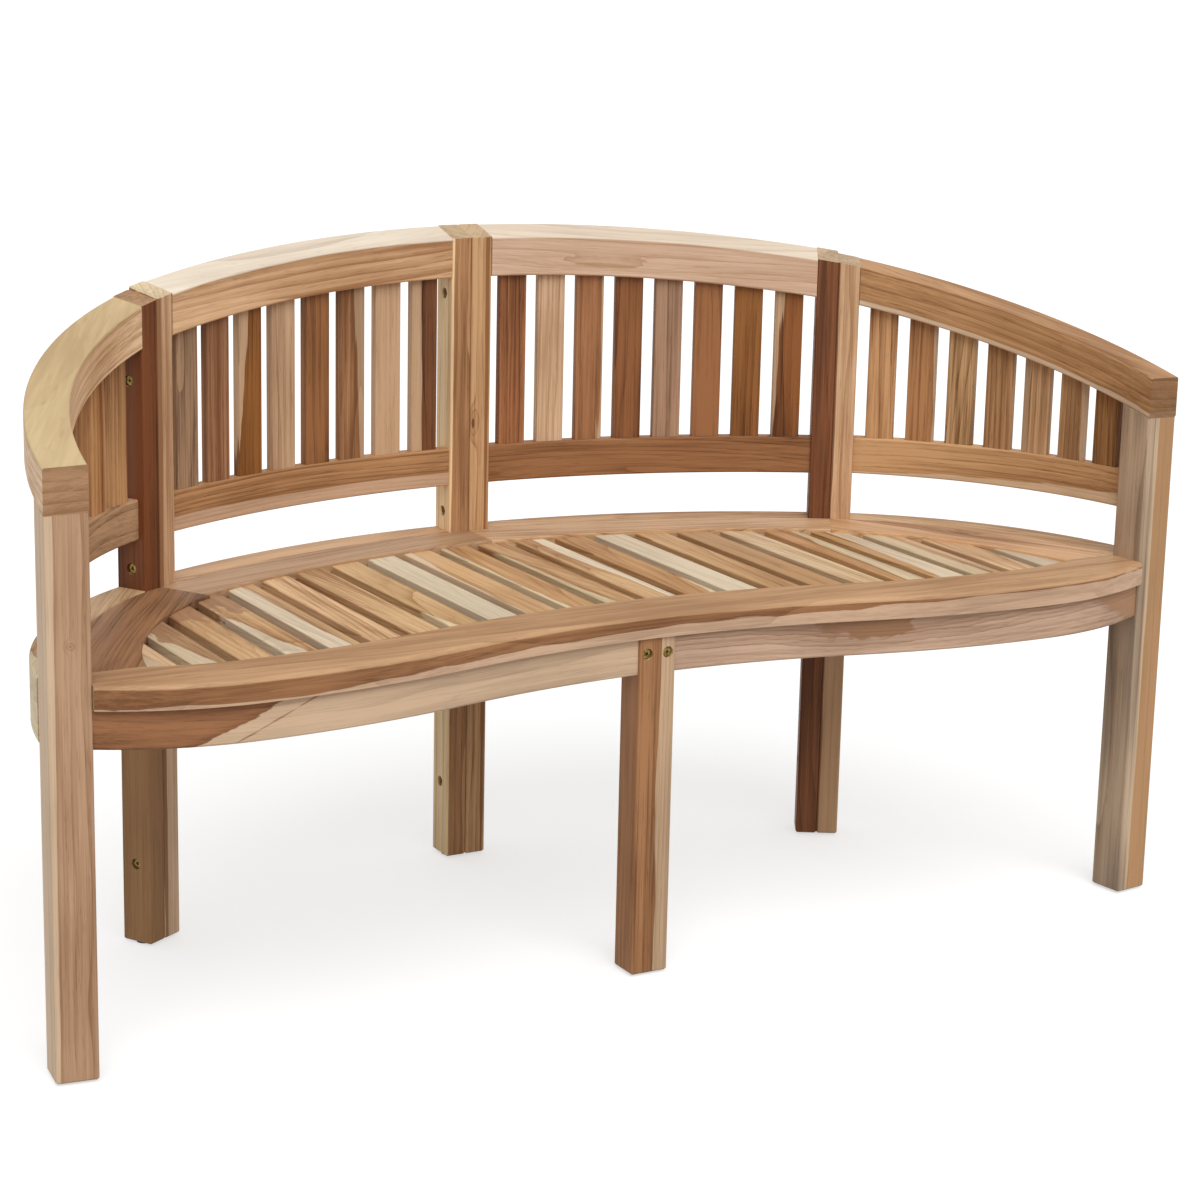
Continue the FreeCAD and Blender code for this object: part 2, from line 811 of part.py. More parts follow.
export_pair("front_post", [cut_mortises(make_front_post(), "front")])
centre_right = make_back_post(centre_joint, across, rearward, 1, "middle")
centre_right = cut_mortises(centre_right, "centre")
export("centre_post_right", [centre_right.cut(voids)])
export("centre_post_left", [mirrored(centre_right).cut(voids)])
inner_post = make_back_post(side_joint, side_tangent, side_normal, -1, "middle")
export_pair("side_post_inner", [cut_mortises(inner_post, "inner").cut(voids)])
outer_post = make_back_post(side_joint, side_tangent, side_normal, 1, "end")
export_pair("side_post_outer", [cut_mortises(outer_post, "outer").cut(voids)])
export("middle_leg", [make_middle_leg().cut(voids)])

for panel in ("middle", "end"):
    export_pair("top_rail_" + panel, [make_top_rail(panel)])
    export_pair("lower_rail_" + panel, [make_lower_rail(panel)])
    export_pair("seat_rail_" + panel, [make_seat_rail(panel)])
    export_pair("back_slats_" + panel, panel_slats(panel, 0))

groove = seat_groove()
export("front_board", [make_front_board(groove)])
export_pair("middle_board", [make_middle_board(groove)])
export_pair("end_board", [make_end_board(groove)])

opening = seat_opening(0, slat_bottom, slat_top)
tongue_half = groove_height / 2 - joint_clearance
tongue_reach = groove_depth - mortise_end_room
tongues = seat_opening(tongue_reach, tongue_middle - tongue_half, tongue_middle + tongue_half)
for number in range(1, seat_slat_count + 1):
    export("seat_slat_%02d" % number, [make_seat_slat(number, opening, tongues)])

export_pair("front_apron", [make_apron()])
export("centre_bearer", [make_centre_bearer().cut(voids)])
export("side_bearers", [make_side_bearer(), mirrored(make_side_bearer())])
export("bolts", [make_bolt(*place) for place in bolt_places()])
export("sleeve_nuts", [make_sleeve_nut(*place[:3]) for place in bolt_places() if place[3]])
export("foot_glides", make_glides())
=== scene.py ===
import math
from collections import namedtuple

import bpy
from mathutils import Matrix, Vector


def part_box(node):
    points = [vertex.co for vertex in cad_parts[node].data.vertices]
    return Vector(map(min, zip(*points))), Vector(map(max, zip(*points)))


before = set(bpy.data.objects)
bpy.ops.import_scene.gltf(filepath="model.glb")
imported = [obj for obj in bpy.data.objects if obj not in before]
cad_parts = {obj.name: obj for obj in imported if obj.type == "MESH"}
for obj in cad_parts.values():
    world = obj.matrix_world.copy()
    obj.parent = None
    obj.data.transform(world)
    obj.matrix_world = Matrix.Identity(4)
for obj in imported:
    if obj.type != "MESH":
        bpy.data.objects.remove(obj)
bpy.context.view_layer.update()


# Camera
# A long lens stands in front of the bench and to the left of it, a little above the back,
# and is rolled by about a degree.
camera_place = (-1.76435, -3.20603, 1.32293)
yaw, pitch, roll = math.radians(29.56), math.radians(-13.85), math.radians(1.29)
ahead = Vector((math.sin(yaw) * math.cos(pitch), math.cos(yaw) * math.cos(pitch), math.sin(pitch)))
level = Vector((math.cos(yaw), -math.sin(yaw), 0.0))
upward = level.cross(ahead)
right = level * math.cos(roll) + upward * math.sin(roll)
above = upward * math.cos(roll) - level * math.sin(roll)
lens = bpy.data.cameras.new("photo_camera")
lens.sensor_width = 36.0
lens.sensor_fit = "HORIZONTAL"
lens.lens = 89.7342
lens.clip_end = 200.0
camera = bpy.data.objects.new("photo_camera", lens)
camera.matrix_world = Matrix.Translation(camera_place) @ Matrix((right, above, -ahead)).transposed().to_4x4()
bpy.context.scene.collection.objects.link(camera)
bpy.context.scene.camera = camera


# Studio
# A wide pale floor runs on past the view. The sky lights evenly from all round, and a broad
# soft lamp from the front left gives the faces their slight difference.
def new_node(tree, kind, inputs=None, **settings):
    """adds a shader node: each of its inputs is a value, or another node's socket to join to it"""
    made = tree.nodes.new("ShaderNode" + kind)
    for setting, value in settings.items():
        setattr(made, setting, value)
    for key, value in (inputs or {}).items():
        if isinstance(value, bpy.types.NodeSocket):
            tree.links.new(value, made.inputs[key])
        else:
            made.inputs[key].default_value = value
    return made


def math_node(tree, operation, first, second=0.0, clamp=False):
    return new_node(tree, "Math", {0: first, 1: second}, operation=operation, use_clamp=clamp).outputs[0]


def times(tree, first, second):
    return math_node(tree, "MULTIPLY", first, second)


def mix_value(tree, amount, low, high):
    """a mix node's numbers are its sockets 2 and 3"""
    return new_node(tree, "Mix", {0: amount, 2: low, 3: high}, data_type="FLOAT").outputs[0]


def seen_directly(tree):
    """1 where the camera, a mirror or a glass looks at a surface, and 0 where it only gives light"""
    path = new_node(tree, "LightPath")
    seen = math_node(tree, "MAXIMUM", path.outputs["Is Camera Ray"], path.outputs["Is Glossy Ray"])
    return math_node(tree, "MAXIMUM", seen, path.outputs["Is Transmission Ray"])


floor_reach = 60
floor_grey = (0.50, 0.50, 0.50, 1)
floor_glow = 0.60
white = (1, 1, 1, 1)
corners = [(-floor_reach, -floor_reach, 0), (floor_reach, -floor_reach, 0),
           (floor_reach, floor_reach, 0), (-floor_reach, floor_reach, 0)]
floor_mesh = bpy.data.meshes.new("studio_floor")
floor_mesh.from_pydata(corners, [], [(0, 1, 2, 3)])
floor = bpy.data.objects.new("studio_floor", floor_mesh)
bpy.context.scene.collection.objects.link(floor)
floor_paint = bpy.data.materials.new("studio_floor")
floor_paint.use_nodes = True
tree = floor_paint.node_tree
tree.nodes.clear()
matt = new_node(tree, "BsdfDiffuse", {"Color": floor_grey})
glow = new_node(tree, "Emission", {"Color": white, "Strength": times(tree, seen_directly(tree), floor_glow)})
both = new_node(tree, "AddShader", {0: matt.outputs[0], 1: glow.outputs[0]})
new_node(tree, "OutputMaterial", {"Surface": both.outputs[0]})
floor_mesh.materials.append(floor_paint)

sky_light = 0.58
sky_seen = 1.0
sky = bpy.data.worlds.new("studio_sky")
sky.use_nodes = True
tree = sky.node_tree
tree.nodes.clear()
strength = mix_value(tree, seen_directly(tree), sky_light, sky_seen)
even = new_node(tree, "Background", {"Color": white, "Strength": strength})
new_node(tree, "OutputWorld", {"Surface": even.outputs[0]})
bpy.context.scene.world = sky

toward_lamp = Vector((-0.22, -0.80, 1.0))
lamp = bpy.data.lights.new("front_left_softbox", "SUN")
lamp.energy = 2.0
lamp.angle = math.radians(50)
lamp_object = bpy.data.objects.new("front_left_softbox", lamp)
lamp_object.rotation_euler = toward_lamp.to_track_quat("Z", "Y").to_euler()
bpy.context.scene.collection.objects.link(lamp_object)
bpy.context.scene.view_settings.view_transform = "Standard"


# Front posts
# Two square posts of solid teak, planed on four sides and sanded, carry the ends of the back. The
# left one is even and pinkish, with one small knot; its paler left side and left edge are painted
# light, with a painted highlight along the rounded edge. The right one is grey inside and golden in
# front, with a pale strip between the two.
def shade(red, green, blue):
    """a colour from 0 to 255 as the eye reads it, turned to the renderer's scale"""
    def linear(part):
        part /= 255
        return part / 12.92 if part <= 0.04045 else ((part + 0.055) / 1.055) ** 2.4

    return linear(red), linear(green), linear(blue), 1.0


def vector_node(tree, operation, first, second=(0, 0, 0)):
    """vector arithmetic: a length and a dot product come out as a number, the rest as a vector"""
    made = new_node(tree, "VectorMath", {0: first, 1: second}, operation=operation)
    return made.outputs["Value" if operation in ("LENGTH", "DOT_PRODUCT") else "Vector"]


def scaled(tree, vector, amount):
    return new_node(tree, "VectorMath", {0: vector, "Scale": amount}, operation="SCALE").outputs[0]


def mix_color(tree, amount, first, second):
    """a mix node's colours are its sockets 6 and 7"""
    return new_node(tree, "Mix", {0: amount, 6: first, 7: second}, data_type="RGBA").outputs[2]


def fibres(tree, sample, across, along, detail=3, output="Fac"):
    """noise drawn out along the grain: how many features a metre holds across it and along it"""
    spread = vector_node(tree, "MULTIPLY", sample, (across, across, along))
    noise = new_node(tree, "TexNoise", {"Vector": spread, "Scale": 1.0, "Detail": detail, "Roughness": 0.6})
    return noise.outputs[output]


def centred(tree, value, amount):
    """a noise about zero, times how much it does"""
    return times(tree, math_node(tree, "SUBTRACT", value, 0.5), amount)


def smooth_step(tree, value, low, high):
    made = new_node(tree, "MapRange", {"Value": value, "From Min": low, "From Max": high},
                    interpolation_type="SMOOTHSTEP", clamp=True)
    return made.outputs[0]


def add_all(tree, *values):
    total = values[0]
    for value in values[1:]:
        total = math_node(tree, "ADD", total, value)
    return total


def knot_in_board(tree, given, sample):
    """how strongly a knot bends the rings round itself, and where its dark core is"""
    to_knot = vector_node(tree, "SUBTRACT", given["place"], given["knot"])
    away = vector_node(tree, "LENGTH", vector_node(tree, "DIVIDE", to_knot, given["knot_shape"]))
    ragged = centred(tree, fibres(tree, sample, across=70, along=30, detail=2), 0.9)
    away = math_node(tree, "ADD", away, ragged)
    pull = math_node(tree, "EXPONENT", times(tree, times(tree, away, away), -0.35))
    core = smooth_step(tree, away, 0.62, 0.50)
    return pull, core


def yearly_rings(tree, given, sample, knot_pull):
    """Rings run round the pith, which wanders and leans along the length of the board. It gives the
    dark line at the inner side of each ring, and a number between 0 and 1 that each ring has alone."""
    noise = fibres(tree, sample, across=5, along=1.8, detail=2, output="Color")
    wander = scaled(tree, vector_node(tree, "SUBTRACT", noise, (0.5, 0.5, 0.5)), given["figure"])
    along = new_node(tree, "SeparateXYZ", {0: given["place"]}).outputs["Z"]
    lean = scaled(tree, given["lean"], along)
    away = vector_node(tree, "SUBTRACT", given["place"], given["pith"])
    away = vector_node(tree, "ADD", vector_node(tree, "SUBTRACT", away, lean), wander)
    radius = vector_node(tree, "LENGTH", vector_node(tree, "MULTIPLY", away, (1, 1, 0)))

    # the boards are counted from years far apart, so that no two share a row of chances
    years_apart = 57.3
    uneven = centred(tree, fibres(tree, sample, across=26, along=3, detail=2), 1.6)
    years = math_node(tree, "DIVIDE", radius, given["ring"])
    years = add_all(tree, years, uneven, times(tree, knot_pull, 3.0))
    within_year = math_node(tree, "FRACT", years)
    first_year = times(tree, given["board"], years_apart)
    year = math_node(tree, "ADD", math_node(tree, "FLOOR", years), first_year)
    chance = new_node(tree, "TexWhiteNoise", {"W": year}, noise_dimensions="1D").outputs["Value"]
    line = math_node(tree, "POWER", math_node(tree, "SUBTRACT", 1.0, within_year), 3.5)
    weight = math_node(tree, "ADD", times(tree, chance, 0.75), 0.25)
    return times(tree, line, weight), chance


def make_solid_teak():
    """Sawn teak in a board's own directions: X across its best face, Y into it, Z with the grain.
    Yearly rings run round the pith of the tree, which may lie outside the board. Over them lie fibres,
    pores, dark streaks, one stripe, a knot, weathered grey and a part of pale sapwood, a part that on
    some boards carries painted light and shade instead."""
    tree = bpy.data.node_groups.new("solid_teak", "ShaderNodeTree")
    asked = {"place": "Vector", "board": "Float", "pith": "Vector", "lean": "Vector", "ring": "Float",
             "light": "Color", "dark": "Color", "sapwood_and_painted_light": "Color", "sapwood_and_painted_light_depth": "Float",
             "wave": "Float", "fibre": "Float", "streaks": "Float", "figure": "Float", "grey": "Float",
             "stripe": "Float", "stripe_tone": "Color", "knot": "Vector", "knot_shape": "Vector",
             "knot_tone": "Color", "cut_end": "Float", "end_tone": "Color"}
    for name, kind in asked.items():
        tree.interface.new_socket(name, in_out="INPUT", socket_type="NodeSocket" + kind)
    for name, kind in (("Color", "Color"), ("Roughness", "Float"), ("Normal", "Vector")):
        tree.interface.new_socket(name, in_out="OUTPUT", socket_type="NodeSocket" + kind)
    given = tree.nodes.new("NodeGroupInput").outputs
    # each board is another stretch of the same noises
    sample = vector_node(tree, "ADD", given["place"], scaled(tree, (1.7, 2.3, 0.9), given["board"]))
    knot_pull, knot_core = knot_in_board(tree, given, sample)
    ring_line, chance = yearly_rings(tree, given, sample, knot_pull)

    # from the finest to the broadest: what the eye sees in the grain beside the rings
    fine = fibres(tree, sample, across=760, along=11)
    pores = smooth_step(tree, fibres(tree, sample, across=620, along=34, detail=1), 0.60, 0.74)
    strand = fibres(tree, sample, across=210, along=2.6)
    band = fibres(tree, sample, across=42, along=1.3, detail=2)
    patch = fibres(tree, sample, across=8, along=3, detail=2)
    dark_streak = smooth_step(tree, band, 0.50, 0.72)

    # the sapwood and the stripe end in a wavy line, as does the painted light and shade that some boards
    # carry in the sapwood's place, and the heartwood is darkest just inside that edge
    ragged = math_node(tree, "ADD", centred(tree, fibres(tree, sample, across=20, along=5, detail=2), 1.0),
                       centred(tree, strand, 0.7))
    past = math_node(tree, "ADD", given["sapwood_and_painted_light_depth"], times(tree, ragged, given["wave"]))
    sap_blur, stripe_blur, rim_width = 0.0008, 0.0006, 0.009
    pale = smooth_step(tree, past, -sap_blur, sap_blur)
    rim = smooth_step(tree, past, -rim_width, -0.001)
    waver = centred(tree, fibres(tree, sample, across=60, along=6, detail=2), 0.006)
    stripe = smooth_step(tree, math_node(tree, "ADD", given["stripe"], waver), -stripe_blur, stripe_blur)

    # darkness is 0 at a board's light tone and 1 at its dark one, and each number is how much one thing adds
    grain = add_all(tree, centred(tree, fine, 1.3), centred(tree, strand, 1.6), centred(tree, patch, 2.2))
    darkness = add_all(tree, 0.22, times(tree, ring_line, 0.60), centred(tree, chance, 0.25),
                       times(tree, given["fibre"], grain), times(tree, dark_streak, given["streaks"]),
                       times(tree, pores, 0.28), times(tree, knot_pull, 0.20),
                       times(tree, times(tree, ring_line, given["cut_end"]), 0.3))
    darkness = math_node(tree, "ADD", darkness, 0.0, clamp=True)
    rimmed = math_node(tree, "ADD", darkness, times(tree, rim, 0.28), clamp=True)

    # each kind of wood has its own pair of tones, and lies over the one before it
    darkest = scaled(tree, given["dark"], 0.55)
    heart = mix_color(tree, rimmed, given["light"], given["dark"])
    sap_and_painted_light = mix_color(tree, times(tree, darkness, 0.40), given["sapwood_and_painted_light"], darkest)
    wood = mix_color(tree, pale, heart, sap_and_painted_light)
    stripe_wood = mix_color(tree, times(tree, darkness, 0.5), given["stripe_tone"], given["dark"])
    wood = mix_color(tree, times(tree, stripe, 0.9), wood, stripe_wood)
    knot_wood = mix_color(tree, times(tree, darkness, 0.6), given["knot_tone"], darkest)
    wood = mix_color(tree, times(tree, knot_core, 0.9), wood, knot_wood)

    # heartwood weathers to grey in bands, and a cut end shows its rings as thin dark lines
    weathered = smooth_step(tree, math_node(tree, "ADD", band, centred(tree, patch, 1.0)), 0.38, 0.70)
    weathered = times(tree, times(tree, weathered, given["grey"]), math_node(tree, "SUBTRACT", 1.0, pale))
    wood = mix_color(tree, weathered, wood, shade(112, 98, 84))
    end_lines = scaled(tree, given["dark"], 0.3)
    end_grain = mix_color(tree, times(tree, rimmed, 0.45), given["end_tone"], end_lines)
    wood = mix_color(tree, times(tree, given["cut_end"], 0.9), wood, end_grain)

    height = add_all(tree, times(tree, fine, 0.6), times(tree, pores, -0.7), times(tree, ring_line, -0.25))
    bump = new_node(tree, "Bump", {"Strength": 0.3, "Distance": 0.0004, "Height": height}).outputs[0]
    rough = add_all(tree, 0.50, times(tree, darkness, 0.12), centred(tree, strand, 0.12))
    out = tree.nodes.new("NodeGroupOutput")
    tree.links.new(wood, out.inputs["Color"])
    tree.links.new(rough, out.inputs["Roughness"])
    tree.links.new(bump, out.inputs["Normal"])
    return tree


solid_teak = make_solid_teak()
nowhere = (9.0, 9.0, 9.0)
far_off = -9.0


def finish_teak(material, place, cut_end, look):
    """joins the wood to the surface: look holds what this board's wood is like, where it isn't plain"""
    tree = material.node_tree
    plain = {"place": place, "cut_end": cut_end, "ring": 0.0055, "wave": 0.018, "figure": 0.02,
             "fibre": 1.0, "streaks": 0.35, "grey": 0.0, "sapwood_and_painted_light_depth": far_off, "stripe": far_off,
             "knot": nowhere, "knot_shape": (0.01, 0.02, 0.02)}
    wood = new_node(tree, "Group", node_tree=solid_teak)
    for name, value in {**plain, **look}.items():
        if isinstance(value, bpy.types.NodeSocket):
            tree.links.new(value, wood.inputs[name])
        else:
            wood.inputs[name].default_value = value
    surface = new_node(tree, "BsdfPrincipled", {
        "Base Color": wood.outputs["Color"], "Roughness": wood.outputs["Roughness"],
        "Normal": wood.outputs["Normal"], "Specular IOR Level": 0.2})
    new_node(tree, "OutputMaterial", {"Surface": surface.outputs[0]})


def new_material(name):
    material = bpy.data.materials.new(name)
    material.use_nodes = True
    material.node_tree.nodes.clear()
    return material


def wear(piece, material):
    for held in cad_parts[piece].material_slots:
        held.material = material


def past_plane(tree, object_place, piece, toward, depth):
    """how far a place lies past the plane that is that deep under the piece's outermost point"""
    toward = Vector(toward).normalized()
    reach = max(toward.dot(corner.co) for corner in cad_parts[piece].data.vertices)
    return math_node(tree, "SUBTRACT", vector_node(tree, "DOT_PRODUCT", object_place, toward), reach - depth)


# Sapwood lies on the side that it is toward, down to its depth under the piece's outermost point, and
# a stripe has its middle at its depth. Here sapwood is any second tone of a board: a second wood, and on
# some pieces painted light and shade. A knot is any brown patch. A knot's place is in the frame, and its
# dark core fills a little over half of its size.
SapwoodAndPaintedLight = namedtuple("SapwoodAndPaintedLight", "toward depth tone")
Stripe = namedtuple("Stripe", "toward depth width tone")
Knot = namedtuple("Knot", "place half_width half_length tone")
boards_sawn = []


def saw(piece, along, inward, light, dark, sap_and_painted_light=None, stripe=None, knot=None, pith=(0.12, 0.03),
        lean=(0.0, 0.0), ends=shade(204, 176, 140), calm=(1.0, 1.0), **look):
    """Gives a piece its own board of teak. Along is the direction of its grain, and inward points into its
    best face. Light and dark are the tones of its heartwood, and ends is the tone of its end grain. Pith is
    where the middle of the tree lies, across and behind that face, and lean is how it drifts along the
    board. Calm is how many times slower the figure changes across the board and into it, for faces that
    are sawn to a curve. The look can name more: ring, the width of a year, wave, how far the edge of the
    sapwood wanders, and the edge of the painted light and shade that some pieces carry in its place,
    figure, how far the pith does, and how strong the fibre, streaks and grey are."""
    low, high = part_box(piece)
    middle = (low + high) / 2
    along = Vector(along).normalized()
    inward = Vector(inward)
    inward = (inward - along * inward.dot(along)).normalized()
    across = inward.cross(along)
    turn = Matrix((across, inward, along)).transposed()
    material = new_material("teak_" + piece)
    tree = material.node_tree
    where = new_node(tree, "TexCoord").outputs
    board = new_node(tree, "Mapping", {"Vector": where["Object"], "Location": middle,
                                       "Rotation": turn.to_euler(), "Scale": (*calm, 1.0)},
                     vector_type="TEXTURE")
    facing = vector_node(tree, "DOT_PRODUCT", where["Normal"], along)
    cut_end = smooth_step(tree, math_node(tree, "ABSOLUTE", facing), 0.6, 0.95)

    boards_sawn.append(piece)
    look.update({"light": light, "dark": dark, "board": float(len(boards_sawn)), "pith": (*pith, 0.0),
                 "lean": (*lean, 0.0), "end_tone": ends})
    if sap_and_painted_light:
        look.update({"sapwood_and_painted_light_depth": past_plane(tree, where["Object"], piece, sap_and_painted_light.toward, sap_and_painted_light.depth),
                     "sapwood_and_painted_light": sap_and_painted_light.tone})
    if stripe:
        past = past_plane(tree, where["Object"], piece, stripe.toward, stripe.depth)
        within = math_node(tree, "SUBTRACT", stripe.width / 2, math_node(tree, "ABSOLUTE", past))
        look.update({"stripe": within, "stripe_tone": stripe.tone})
    if knot:
        spot = turn.transposed() @ (Vector(knot.place) - middle)
        look.update({"knot": (spot.x / calm[0], spot.y / calm[1], spot.z), "knot_tone": knot.tone,
                     "knot_shape": (knot.half_width / calm[0], knot.half_length / calm[1], knot.half_length)})
    finish_teak(material, board.outputs[0], cut_end, look)
    wear(piece, material)


up, rear = (0, 0, 1), (0, 1, 0)
# the lines between the woods of the front posts, and the edge of the painted light on the left one,
# run a little out of plumb
leftward, rightward = (-1, 0, 0.006), (1, 0, -0.006)
knot_brown = shade(92, 60, 38)
saw("front_post_left", up, rear, light=shade(192, 154, 122), dark=shade(146, 106, 76),
    # its paler left side and edge are painted light, with a painted highlight on the rounded edge
    sap_and_painted_light=SapwoodAndPaintedLight(toward=leftward, depth=0.009, tone=shade(216, 186, 154)), wave=0.006,
    knot=Knot(place=(-0.738, -0.256, 0.50), half_width=0.003, half_length=0.003, tone=knot_brown),
    pith=(-0.05, 0.16), streaks=0.10, fibre=0.8)
saw("front_post_right", up, rear, light=shade(194, 168, 140), dark=shade(142, 114, 90),
    sap_and_painted_light=SapwoodAndPaintedLight(toward=rightward, depth=0.035, tone=shade(186, 142, 100)), wave=0.014,
    stripe=Stripe(toward=leftward, depth=0.0225, width=0.006, tone=shade(212, 184, 152)),
    pith=(0.09, 0.05), streaks=0.06, fibre=0.7, grey=0.6)


# Back posts
# Six posts stand in three pairs. Each closes one panel of the back, and the two of a pair are
# bolted together side by side, so each pair shows two different boards. Three of them change tone at
# about the height of the seat: two are painted lighter below it, as painted light under the seat, and
# one is painted darker, as painted shade under the seat. Where the two posts of a pair meet, a thin dark
# stripe is painted shade in the joint.
left_rear, toward_left_end = (-0.505, 0.863, 0), (-0.863, -0.505, 0)
right_rear, toward_centre = (0.505, 0.863, 0), (-0.863, 0.505, 0)
to_left, to_right = (-1, 0, 0), (1, 0, 0)
down = (0, 0, -1)
# below this height three back posts carry a second tone, which is painted light and shade under the seat
painted_light_and_shade_below_seat = 0.42
saw("centre_post_left", up, rear, light=shade(190, 142, 100), dark=shade(128, 88, 56),
    # its pale left side is sapwood, lightened further as painted light, since that face lies in shade
    sap_and_painted_light=SapwoodAndPaintedLight(toward=to_left, depth=0.003, tone=shade(250, 217, 168)), wave=0.004,
    # its dark stripe at the right edge is painted shade in the joint with the right post
    stripe=Stripe(toward=to_right, depth=0.0, width=0.003, tone=shade(112, 76, 48)),
    pith=(0.05, 0.07), ring=0.007, ends=shade(190, 164, 128))
saw("centre_post_right", up, rear, light=shade(206, 164, 120), dark=shade(152, 108, 70),
    stripe=Stripe(toward=to_right, depth=0.006, width=0.005, tone=shade(134, 88, 52)),
    knot=Knot(place=(0.004, 0.262, 0.60), half_width=0.004, half_length=0.012, tone=knot_brown),
    pith=(-0.06, 0.05), streaks=0.2, ends=shade(194, 166, 130))
saw("side_post_outer_left", up, left_rear, light=shade(124, 72, 40), dark=shade(62, 34, 16),
    # its lighter tone below the seat is painted light
    sap_and_painted_light=SapwoodAndPaintedLight(toward=down, depth=painted_light_and_shade_below_seat, tone=shade(168, 126, 86)), wave=0.25,
    pith=(0.05, 0.03), figure=0.04, ends=shade(182, 142, 104))
saw("side_post_inner_left", up, left_rear, light=shade(222, 184, 148), dark=shade(166, 126, 92),
    # its lighter tone below the seat is painted light
    sap_and_painted_light=SapwoodAndPaintedLight(toward=down, depth=painted_light_and_shade_below_seat, tone=shade(238, 202, 166)), wave=0.25,
    # its dark stripe at the left edge is painted shade in the joint with the outer post
    stripe=Stripe(toward=toward_left_end, depth=0.003, width=0.006, tone=shade(128, 82, 48)),
    pith=(-0.08, 0.06), streaks=0.12, ends=shade(224, 202, 164))
saw("side_post_inner_right", up, right_rear, light=shade(138, 86, 54), dark=shade(92, 56, 34),
    pith=(0.03, 0.08), ends=shade(206, 178, 144))
saw("side_post_outer_right", up, right_rear, light=shade(222, 184, 146), dark=shade(172, 130, 94),
    # its darker tone below the seat is painted shade
    sap_and_painted_light=SapwoodAndPaintedLight(toward=down, depth=painted_light_and_shade_below_seat, tone=shade(196, 156, 118)), wave=0.25,
    # its dark stripe at the edge toward the centre is painted shade in the joint with the inner post
    stripe=Stripe(toward=toward_centre, depth=0.0, width=0.004, tone=shade(118, 82, 56)),
    pith=(-0.05, 0.09), streaks=0.12, ends=shade(190, 162, 130))


# Middle leg
# One leg stands under the middle of the front, bolted through to the bearer behind it. Its
# right third is sapwood, with a wavy line between the two.
saw("middle_leg", up, rear, light=shade(172, 122, 82), dark=shade(112, 74, 44),
    sap_and_painted_light=SapwoodAndPaintedLight(toward=(1, 0, 0.006), depth=0.022, tone=shade(204, 170, 136)),
    pith=(-0.10, 0.02), streaks=0.2)


# Top rails
# Four thick rails close the back at the top. Each is sawn to its curve from one straight
# plank, so the grain runs off at its ends, and the end rails show rings on their sawn ends.
# The slats are let into them from below, and their tenons go into the posts.
left_run, left_inward = (0.51, 0.86, 0), (-0.86, 0.51, 0)
right_run, right_inward = (0.51, -0.86, 0), (0.86, 0.51, 0)
middle_left_run, middle_right_run = (0.97, 0.25, 0), (0.97, -0.25, 0)
middle_top = (0, -0.287, 1)
left_end_top, right_end_underside = (-0.069, -0.249, 1), (-0.069, 0.249, -1)
# its tones are lightened as painted light for its inner face, which lies in shade, and its top face keeps a
# darker tone of its own
saw("top_rail_end_left", (0.51, 0.86, 0.25), left_inward,
    light=shade(242, 206, 168), dark=shade(180, 138, 98),
    sap_and_painted_light=SapwoodAndPaintedLight(toward=left_end_top, depth=0.003, tone=shade(204, 178, 134)), wave=0.002,
    pith=(0.10, 0.02), ring=0.010, calm=(1, 5), streaks=0.30, ends=shade(158, 114, 78))
saw("top_rail_middle_left", (0.97, 0.25, 0.07), rear,
    light=shade(232, 192, 150), dark=shade(164, 118, 80),
    # its paler top face is painted light from above
    sap_and_painted_light=SapwoodAndPaintedLight(toward=middle_top, depth=0.0025, tone=shade(238, 224, 204)), wave=0.004,
    pith=(0.16, 0.01), ring=0.014, calm=(1, 7), streaks=0.25, fibre=0.6)
saw("top_rail_middle_right", (0.97, -0.25, -0.07), rear,
    light=shade(220, 188, 162), dark=shade(186, 148, 118),
    # its paler top face is painted light from above
    sap_and_painted_light=SapwoodAndPaintedLight(toward=middle_top, depth=0.002, tone=shade(226, 208, 186)), wave=0.002,
    knot=Knot(place=(0.19, 0.240, 0.803), half_width=0.006, half_length=0.075, tone=shade(204, 164, 124)),
    pith=(0.10, 0.03), calm=(1, 7), streaks=0.06, fibre=0.7)
saw("top_rail_end_right", (0.51, -0.86, -0.25), right_inward,
    light=shade(198, 152, 106), dark=shade(134, 92, 56),
    sap_and_painted_light=SapwoodAndPaintedLight(toward=right_end_underside, depth=0.008, tone=shade(216, 188, 158)), wave=0.008,
    pith=(0.14, 0.01), ring=0.010, calm=(1, 5), streaks=0.3, fibre=0.7, ends=shade(146, 104, 68))


# Lower rails
# Four thinner rails carry the feet of the back slats, a hand's width above the seat. They are
# set back a little from the faces of the posts and tenoned into their sides.
saw("lower_rail_end_left", left_run, left_inward, light=shade(196, 158, 122), dark=shade(122, 84, 54),
    ring=0.012, calm=(1, 3), figure=0.06, streaks=0.2, fibre=0.6)
saw("lower_rail_middle_left", middle_left_run, rear, light=shade(196, 148, 104), dark=shade(134, 92, 56),
    sap_and_painted_light=SapwoodAndPaintedLight(toward=down, depth=0.018, tone=shade(206, 170, 140)), wave=0.006, calm=(1, 6), fibre=0.8)
saw("lower_rail_middle_right", middle_right_run, rear, light=shade(158, 110, 72), dark=shade(98, 60, 34),
    pith=(0.02, 0.012), lean=(0.06, 0.0), ring=0.006, calm=(1, 6), figure=0.05, fibre=0.8)
saw("lower_rail_end_right", right_run, right_inward, light=shade(204, 160, 114), dark=shade(146, 102, 64),
    sap_and_painted_light=SapwoodAndPaintedLight(toward=(0.02, -0.027, -1), depth=0.016, tone=shade(216, 186, 152)), wave=0.016,
    calm=(1, 5), fibre=0.8)


